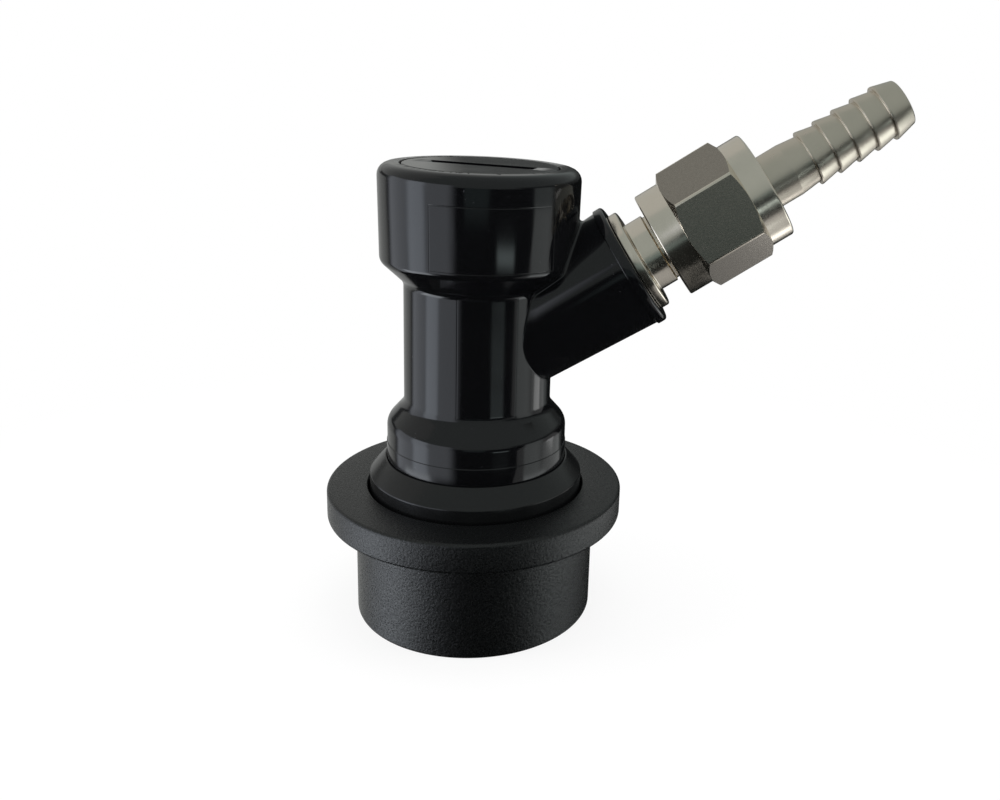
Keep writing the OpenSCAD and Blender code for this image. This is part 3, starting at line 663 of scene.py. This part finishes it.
capForm = {"barrel": 8.6, "play": 0.05, "root": 8.05, "from": 49.7, "seat": 57.32, "disc": 9.7, "top": 59.3,
           "pitch": 1.75, "ridgeFoot": 0.2, "groove": 7.08, "grooveFrom": 50.55, "grooveTo": 52.25,
           "collarTo": 0.4, "threadFrom": 0.5, "rootFrom": 0.9, "springHole": 4.2, "springDeep": 2,
           "slotLong": 14.0, "slotWide": 2.4, "slotDeep": 1.8, "slotTurn": -14.0, "edge": 0.1,
           "threadShort": 0.1}
c = capForm
side = c["barrel"] - c["play"]
cap = lathe("capShell", [
    (0, c["from"]), (side, c["from"], 0.2), (side, c["grooveFrom"]), (c["groove"], c["grooveFrom"]),
    (c["groove"], c["grooveTo"]), (side, c["grooveTo"]), (side, c["grooveTo"] + c["collarTo"]),
    (c["root"], c["grooveTo"] + c["rootFrom"]), (c["root"], c["seat"]), (c["disc"], c["seat"]),
    (c["disc"], c["top"], 0.25), (0, c["top"])], 160)
capThread = threadRod("capThread", c["root"] - c["ridgeFoot"], c["barrel"], c["pitch"],
                      c["grooveTo"] + c["threadFrom"], c["seat"] - c["threadShort"], 144, 12, 1.0)
combine(cap, capThread, "UNION")
springSocket = lathe("springSocket", [
    (0, c["from"] - 1), (c["springHole"], c["from"] - 1), (c["springHole"], c["from"] + c["springDeep"]),
    (0, c["from"] + c["springDeep"])], 96)
combine(cap, springSocket, "DIFFERENCE")
slotRadius = ((c["slotLong"] / 2) ** 2 + c["slotDeep"] ** 2) / (2 * c["slotDeep"])
bpy.ops.mesh.primitive_cylinder_add(vertices=160, radius=slotRadius * mm, depth=c["slotWide"] * mm)
coin = bpy.context.object
coin.data.transform(Matrix.Rotation(math.radians(c["slotTurn"]), 4, "Z")
                    @ Matrix.Translation((0, 0, (c["top"] - c["slotDeep"] + slotRadius) * mm))
                    @ Matrix.Rotation(math.radians(90), 4, "X"))
combine(cap, coin, "DIFFERENCE")
softenEdges(cap, c["edge"], 40, 3)
smooth(cap, 32, True)
dress(cap, "gloss", "cap", "black_gloss", "top_cap")

# Flare fitting, with its thread

print("modelling the fitting, the nut and the tail")
fitForm = {"bore": 2.3, "stub": 5.15, "from": 12.2, "ringFrom": 13.55, "ringTo": 15.45, "ringRoot": 3.38,
           "flange": 6.75, "flangeFrom": 23.75, "neckFrom": 24.95, "neck": 4.7, "reliefFrom": 27.35,
           "relief": 4.4, "reliefEdge": 0.1, "threadFrom": 28.25, "threadLead": 0.3, "threadTo": 36.25,
           "thread": 5.55, "ridgeFoot": 0.05, "threadFade": 0.7, "pitch": 1.27, "nose": 4.7,
           "noseTip": 2.9, "noseTo": 38.05}
c = fitForm
fitting = lathe("fittingShell", [
    (c["bore"], c["from"]), (c["stub"], c["from"], 0.3), (c["stub"], c["ringFrom"]),
    (c["ringRoot"], c["ringFrom"]), (c["ringRoot"], c["ringTo"]), (c["stub"], c["ringTo"]),
    (c["stub"], c["flangeFrom"]), (c["flange"], c["flangeFrom"], 0.15), (c["flange"], c["neckFrom"], 0.3),
    (c["neck"], c["neckFrom"], 0.2), (c["neck"], c["reliefFrom"], 0.1),
    (c["relief"], c["reliefFrom"] + c["reliefEdge"], 0.1), (c["relief"], c["threadFrom"]),
    (c["neck"], c["threadFrom"] + c["threadLead"]), (c["neck"], c["threadTo"]),
    (c["nose"], c["threadTo"]), (c["noseTip"], c["noseTo"], 0.2), (c["bore"], c["noseTo"], 0.1)], 160)
thread = threadRod("flareThread", c["neck"] + c["ridgeFoot"], c["thread"], c["pitch"], c["threadFrom"],
                   c["threadTo"], 128, 14, c["threadFade"])
threadBore = lathe("threadBore", [
    (0, c["threadFrom"] - 1), (c["bore"] + 1, c["threadFrom"] - 1), (c["bore"] + 1, c["threadTo"] + 1),
    (0, c["threadTo"] + 1)], 64)
combine(thread, threadBore, "DIFFERENCE")
combine(fitting, thread, "UNION")
smooth(fitting, 28)
ontoArm(fitting)
dress(fitting, "turned", "housing", "stainless", "flare_fitting")

# Swivel nut

nutForm = {"flats": 14.3, "from": 27.85, "length": 15.0, "frontRim": 3.2, "backRim": 3.0, "rim": 7.1,
           "spare": 2, "bevel": 0.64, "cornerRound": 0.22, "edge": 0.12, "wallAt": 40.75, "hole": 3.9,
           "holeEdge": 0.25, "turn": -5.0, "threadRoot": 5.65, "threadTip": 4.95, "threadTo": 36.4,
           "lead": 0.6, "leadTo": 0.9, "threadFoot": 0.1, "threadPast": 0.3, "threadFade": 0.4,
           "slack": 0.02}
c = nutForm
cornerRadius = c["flats"] / 2 / math.cos(math.radians(30))
nutEnd = c["from"] + c["length"]
hexFrom, hexTo = c["from"] + c["frontRim"], nutEnd - c["backRim"]
bpy.ops.mesh.primitive_cylinder_add(vertices=6, radius=cornerRadius * mm,
                                    depth=(hexTo - hexFrom + c["spare"]) * mm,
                                    location=(0, 0, (hexFrom + hexTo) / 2 * mm),
                                    rotation=(0, 0, math.radians(30)))
nut = bpy.context.object
nut.name = "nutShell"
bpy.ops.object.transform_apply(location=True, rotation=True, scale=True)
softenEdges(nut, c["cornerRound"], 50, 4)
lean = (cornerRadius - c["rim"]) * c["bevel"]
wide = cornerRadius + 0.1
chamfers = lathe("chamfers", [
    (0, hexFrom), (c["rim"], hexFrom), (wide, hexFrom + lean), (wide, hexTo - lean), (c["rim"], hexTo),
    (0, hexTo)], 192)
combine(nut, chamfers, "INTERSECT")
rims = lathe("rims", [
    (0, c["from"]), (c["rim"], c["from"], 0.25), (c["rim"], nutEnd, 0.3), (0, nutEnd)], 192)
combine(nut, rims, "UNION")
lead, holeEnd = c["threadRoot"] + c["lead"], c["hole"] + c["holeEdge"]
nutBore = lathe("nutBore", [
    (0, c["from"] - 1), (lead, c["from"] - 1), (lead, c["from"]), (c["threadTip"], c["from"] + c["leadTo"]),
    (c["threadTip"], c["threadTo"]), (c["threadRoot"], c["threadTo"] + 0.5), (c["threadRoot"], c["wallAt"]),
    (c["hole"], c["wallAt"]), (c["hole"], nutEnd - c["holeEdge"]), (holeEnd, nutEnd), (holeEnd, nutEnd + 1),
    (0, nutEnd + 1)], 160)
combine(nut, nutBore, "DIFFERENCE")
nutThread = threadRod("nutThread", c["threadTip"] - c["threadFoot"], c["threadRoot"], fitForm["pitch"],
                      c["from"] - fitForm["pitch"] / 2, c["threadTo"] + c["threadPast"], 128, 14,
                      c["threadFade"])
combine(nut, nutThread, "DIFFERENCE")
softenEdges(nut, c["edge"], 24, 3)
smooth(nut, 30)
dress(nut, "turned", "nut", "stainless", "swivel_nut")
nut.data.materials.append(finish["milled"])
for face in nut.data.polygons:  # the six flats of the drawn bar
    turn = math.degrees(math.atan2(face.normal.y, face.normal.x)) % 60 - 30
    reach = face.center.x * face.normal.x + face.center.y * face.normal.y
    outside = reach > (c["flats"] / 2 - c["slack"]) * mm
    face.select = abs(face.normal.z) < 0.01 and abs(turn) < 0.5 and outside
    face.material_index = 1 if face.select else 0
only(nut)
bpy.ops.object.mode_set(mode="EDIT")
bpy.ops.mesh.select_mode(type="FACE")
bpy.ops.mesh.region_to_loop()
bpy.ops.mesh.mark_sharp()
bpy.ops.mesh.select_all(action="DESELECT")
bpy.ops.object.mode_set(mode="OBJECT")
ontoArm(nut, c["turn"])

# Barb tail

tailForm = {"bore": 2.2, "head": 4.9, "from": 37.5, "headTo": 40.7, "shank": 3.5, "taperFrom": 46.3,
            "firstBarb": 48.95, "pitch": 2.65, "count": 5, "barb": 3.68, "root": 3.2, "land": 0.22,
            "tip": 2.99, "end": 62.35, "seat": 4.55, "boreFrom": 39.85, "boreEdge": 0.1}
c = tailForm
barbs = []
for i in range(c["count"]):
    at = c["firstBarb"] + i * c["pitch"]
    barbs += [(c["root"], at, 0.06), (c["barb"], at, 0.05), (c["barb"], at + c["land"], 0.05)]
tail = lathe("tailShell", [
    (c["bore"], c["boreFrom"]), (c["seat"], c["from"]), (c["head"], c["from"], 0.2),
    (c["head"], c["headTo"], 0.3), (c["shank"], c["headTo"], 0.2),
    (c["shank"], c["taperFrom"], 0.4)] + barbs
    + [(c["tip"], c["end"], 0.25), (c["bore"] + c["boreEdge"], c["end"], 0.1),
       (c["bore"], c["end"] - 0.2)], 160, 4)
smooth(tail, 28)
ontoArm(tail)
dress(tail, "barb", "tail", "stainless", "barb_tail")


# Springs: round wire, with a closed turn at each end

windForm = {"perTurn": 48, "closed": 1.03, "roundness": 4}


def spring(name, foot, top, coilRadius, wire, turns):
    curve = bpy.data.curves.new(name, "CURVE")
    curve.dimensions = "3D"
    curve.bevel_depth = wire / 2 * mm
    curve.bevel_resolution = windForm["roundness"]
    curve.use_fill_caps = True
    perTurn = windForm["perTurn"]
    count = round(turns * perTurn) + 1
    line = curve.splines.new("POLY")
    line.points.add(count - 1)
    closed, length = wire * windForm["closed"], top - foot
    for i in range(count):
        t = i / perTurn
        if t < 1:
            height = wire / 2 + t * closed
        elif t > turns - 1:
            height = length - wire / 2 - (turns - t) * closed
        else:
            height = wire / 2 + closed + (t - 1) / (turns - 2) * (length - wire - 2 * closed)
        turn = 2 * math.pi * t
        x, y = coilRadius * math.cos(turn), coilRadius * math.sin(turn)
        line.points[i].co = (x * mm, y * mm, (foot + height) * mm, 1)
    obj = bpy.data.objects.new(name, curve)
    bpy.context.scene.collection.objects.link(obj)
    only(obj)
    bpy.ops.object.convert(target="MESH")
    made = bpy.context.object
    smooth(made, 50)
    return made


print("winding the springs")
springForm = {
    "collarSpring": {"foot": 8.05, "top": 17.45, "coil": 12.475, "wire": 0.9, "turns": 4.5,
                     "node": "collar_spring", "joint": "collar_lift", "travel": 4.0},
    "valveSpring": {"foot": 29.55, "top": 51.65, "coil": 3.5, "wire": 0.8, "turns": 9,
                    "node": "valve_spring", "joint": "valve_open", "travel": 3.0},
}
for name, c in springForm.items():
    made = spring(name, c["foot"], c["top"], c["coil"], c["wire"], c["turns"])
    dress(made, "wire", "housing", "spring_steel", c["node"])
    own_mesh(made)

# Nodes of the frame that stay as they are, with their finishes

nodeLooks = {"cap_seal": "rubber", "valve_pin": "grey", "valve_seal": "rubber", "ball_1": "ball",
             "ball_2": "ball", "ball_3": "ball", "retaining_ring": "wire", "fitting_seal": "rubber",
             "flare_washer": "nylon"}
for name, look in nodeLooks.items():
    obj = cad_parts[name]
    if not obj.material_slots:
        obj.data.materials.append(finish[look])
    for holder in obj.material_slots:
        holder.material = finish[look]

# Floor, lights and camera

print("setting the stage")
stageForm = {"floorSize": 3.0, "near": 0.86, "fadeFrom": 0.02, "fadeTo": 0.11}


def floorMaterial():  # pale, with the object's shadow near its foot and plain white farther out
    mat = material("paleFloor", (0.86, 0.86, 0.85), 0.9)
    glow = node(mat, "ShaderNodeEmission", Color=(1, 1, 1, 1), Strength=1.0)
    rays = mat.node_tree.nodes.new("ShaderNodeLightPath")
    far = node(mat, "ShaderNodeVectorMath", {"operation": "LENGTH"}, "Value", i0=place(mat))
    fade = spread(mat, far, stageForm["fadeFrom"], stageForm["fadeTo"], stageForm["near"], 1.0)
    seen = sums(mat, "MULTIPLY", rays.outputs["Is Camera Ray"], fade)
    mirrored = node(mat, "ShaderNodeMath", {"operation": "MAXIMUM"}, i0=rays.outputs["Is Glossy Ray"],
                    i1=rays.outputs["Is Transmission Ray"])
    clear = mat.node_tree.nodes.new("ShaderNodeBsdfTransparent")
    pale = mat.node_tree.nodes.new("ShaderNodeMixShader")
    both = mat.node_tree.nodes.new("ShaderNodeMixShader")
    links = mat.node_tree.links
    links.new(seen, pale.inputs[0])
    links.new(mat.node_tree.nodes["Principled BSDF"].outputs[0], pale.inputs[1])
    links.new(glow, pale.inputs[2])
    links.new(mirrored, both.inputs[0])
    links.new(pale.outputs[0], both.inputs[1])
    links.new(clear.outputs[0], both.inputs[2])
    links.new(both.outputs[0], mat.node_tree.nodes["Material Output"].inputs["Surface"])
    return mat


bpy.ops.object.select_all(action="DESELECT")
bpy.ops.mesh.primitive_plane_add(size=stageForm["floorSize"], location=(0, 0, 0))
floor = bpy.context.object
floor.name = "floor"
floor.data.materials.append(floorMaterial())

lightForm = [  # name, place and aim in millimetres, width and height in millimetres, power in watts
    ("leftBox", (-260, -60, 160), (0, 0, 35), 120, 240, 0.5),
    ("rightBox", (270, -40, 160), (10, 0, 40), 120, 240, 0.3),
    ("topBox", (30, 20, 330), (10, 0, 40), 260, 240, 0.6),
    ("lowCard", (114, 5, 8), (72, 7, 64), 140, 110, 0.0185),
    ("lowStrip", (85, 23, 4), (44, -4, 58), 22, 15, 0.0014),
]


def softBox(name, placeMm, aimMm, wide, high, power):
    light = bpy.data.lights.new(name, "AREA")
    light.shape = "RECTANGLE"
    light.size = wide * mm
    light.size_y = high * mm
    light.energy = power
    obj = bpy.data.objects.new(name, light)
    bpy.context.scene.collection.objects.link(obj)
    obj.location = Vector(placeMm) * mm
    obj.rotation_euler = (Vector(placeMm) - Vector(aimMm)).to_track_quat("Z", "Y").to_euler()
    obj.visible_glossy = name.startswith("low")  # shiny faces mirror these and the world's panels only


for entry in lightForm:
    softBox(*entry)

# The studio that shiny faces mirror, in degrees of azimuth from the camera's side and of height
studioForm = {
    "dark": 0.01,
    "fill": (0.97, 0.98, 1.0, 1),
    "fillStrength": 0.75,
    "wobble": {"scale": 9, "degrees": 5.0},
    "softEnd": 5,
    "spill": 1,
    "ceiling": {"from": 6, "to": 20, "strength": 0.34, "color": (0.94, 1.03, 1.0)},
    "panels": [  # azimuth from and to, height from and to, softness at each side, strength, colour
        (-181, -112, -40, 6, 2, 16, 0.45, (1, 1.02, 1.0)),
        (-114, -19, -27, 20, 12, 14, 1.1, (0.93, 0.98, 1.07)),
        (-114, -42, -42, -20, 12, 14, 1.1, (0.93, 0.98, 1.07)),
        (-84, -50, -27, 20, 16, 14, 2.3, (0.9, 0.97, 1.08)),
        (-98, -49, -42, -20, 14, 12, 3.4, (0.92, 0.98, 1.05)),
        (25, 46, -18, -10.5, 4, 3, 2.3, (0.87, 1.02, 1.02)),
        (67, 100, -40, 10, 3, 14, 0.5, (0.92, 1.02, 1.0)),
        (68, 118, -42, -21, 3, 20, 1.5, (0.93, 1.0, 1.0)),
        (97, 150, -36, -12, 3, 20, 0.34, (0.95, 1.02, 1.0)),
        (-181, -100, 1, 18, 2, 6, 0.08, (0.95, 1.0, 0.97)),
        (104, 181, 1, 18, 6, 2, 0.08, (0.95, 1.0, 0.97)),
        (-12, 18, -10, 10, 6, 6, 0.17, (0.85, 1.1, 1.1)),
        (-181, -58, 8, 68, 2, 20, 0.44, (0.98, 1.0, 0.97)),
        (-120, 60, 3, 40, 20, 20, 0.33, (0.94, 1.03, 1.0)),
        (-173, -140, 1, 14, 4, 6, 0.42, (1.0, 1.02, 0.98)),
    ],
}
world = bpy.data.worlds.new("studio")
bpy.context.scene.world = world
world.use_nodes = True
world.node_tree.nodes.clear()


def ramp(value, low, high):  # runs smoothly from 0 at low to 1 at high
    return node(world, "ShaderNodeMapRange", {"interpolation_type": "SMOOTHSTEP"}, Value=value, From_Min=low,
                From_Max=high, To_Min=0.0, To_Max=1.0)


def studio():
    way = world.node_tree.nodes.new("ShaderNodeTexCoord").outputs["Generated"]
    split = world.node_tree.nodes.new("ShaderNodeSeparateXYZ")
    world.node_tree.links.new(way, split.inputs[0])
    toCamera = sums(world, "MULTIPLY", split.outputs["Y"], -1.0)
    azimuth = sums(world, "MULTIPLY", sums(world, "ARCTAN2", split.outputs["X"], toCamera), 180 / math.pi)
    uneven = sums(world, "SUBTRACT", noise(world, way, studioForm["wobble"]["scale"], 3), 0.5)
    azimuth = sums(world, "ADD", azimuth, sums(world, "MULTIPLY", uneven, studioForm["wobble"]["degrees"]))
    height = sums(world, "MULTIPLY", sums(world, "ARCSINE", split.outputs["Z"]), 180 / math.pi)
    lit = ramp(height, studioForm["ceiling"]["from"], studioForm["ceiling"]["to"])
    strength = sums(world, "MULTIPLY_ADD", lit, studioForm["ceiling"]["strength"], studioForm["dark"])
    glow = node(world, "ShaderNodeVectorMath", {"operation": "SCALE"}, i0=studioForm["ceiling"]["color"],
                Scale=strength)
    end, spill = studioForm["softEnd"], studioForm["spill"]
    for left, right, low, high, softLeft, softRight, power, color in studioForm["panels"]:
        across = sums(world, "MULTIPLY", ramp(azimuth, left - softLeft / 2, left + softLeft / 2),
                      ramp(azimuth, right + spill, right - softRight))
        upright = sums(world, "MULTIPLY", ramp(height, low, low + end), ramp(height, high, high - end))
        share = sums(world, "MULTIPLY", across, upright)
        panel = node(world, "ShaderNodeVectorMath", {"operation": "SCALE"},
                     i0=tuple(c * power for c in color), Scale=share)
        glow = node(world, "ShaderNodeVectorMath", {"operation": "MAXIMUM"}, i0=glow, i1=panel)
    return glow


def background(color, strength):
    return node(world, "ShaderNodeBackground", Color=color, Strength=strength)


def mixed(share, first, second):
    made = world.node_tree.nodes.new("ShaderNodeMixShader")
    for value, socket in ((share, 0), (first, 1), (second, 2)):
        world.node_tree.links.new(value, made.inputs[socket])
    return made.outputs[0]


rays = world.node_tree.nodes.new("ShaderNodeLightPath")
fill = background(studioForm["fill"], studioForm["fillStrength"])
mirrored = background(studio(), 1.0)
sight = background((1, 1, 1, 1), 1.0)
shiny = sums(world, "MAXIMUM", rays.outputs["Is Glossy Ray"], rays.outputs["Is Transmission Ray"])
whole = mixed(rays.outputs["Is Camera Ray"], mixed(shiny, fill, mirrored), sight)
output = world.node_tree.nodes.new("ShaderNodeOutputWorld")
world.node_tree.links.new(whole, output.inputs["Surface"])

# The place is in millimetres, the focal length and the picture's size are in pixels
cameraForm = {"place": (11.602, -124.844, 72.164), "ahead": (0.057272, 0.961702, -0.268047),
              "right": (0.997613, -0.044751, 0.052595), "focal": 996.0, "axisPixel": (625.5, 341.6),
              "width": 1000, "height": 800, "sensor": 36.0, "nearest": 0.005}
c = cameraForm
ahead, right = Vector(c["ahead"]).normalized(), Vector(c["right"])
right = (right - ahead * right.dot(ahead)).normalized()
upward = right.cross(ahead)
camera = bpy.data.cameras.new("camera")
camera.sensor_width = c["sensor"]
camera.lens = c["focal"] / c["width"] * c["sensor"]
camera.shift_x = (c["width"] / 2 - c["axisPixel"][0]) / c["width"]
camera.shift_y = (c["axisPixel"][1] - c["height"] / 2) / c["width"]
camera.clip_start = c["nearest"]
cameraObject = bpy.data.objects.new("camera", camera)
bpy.context.scene.collection.objects.link(cameraObject)
turned = Matrix((right, upward, -ahead)).transposed().to_4x4()
cameraObject.matrix_world = Matrix.Translation(Vector(c["place"]) * mm) @ turned
bpy.context.scene.camera = cameraObject
bpy.context.scene.view_settings.view_transform = "Standard"
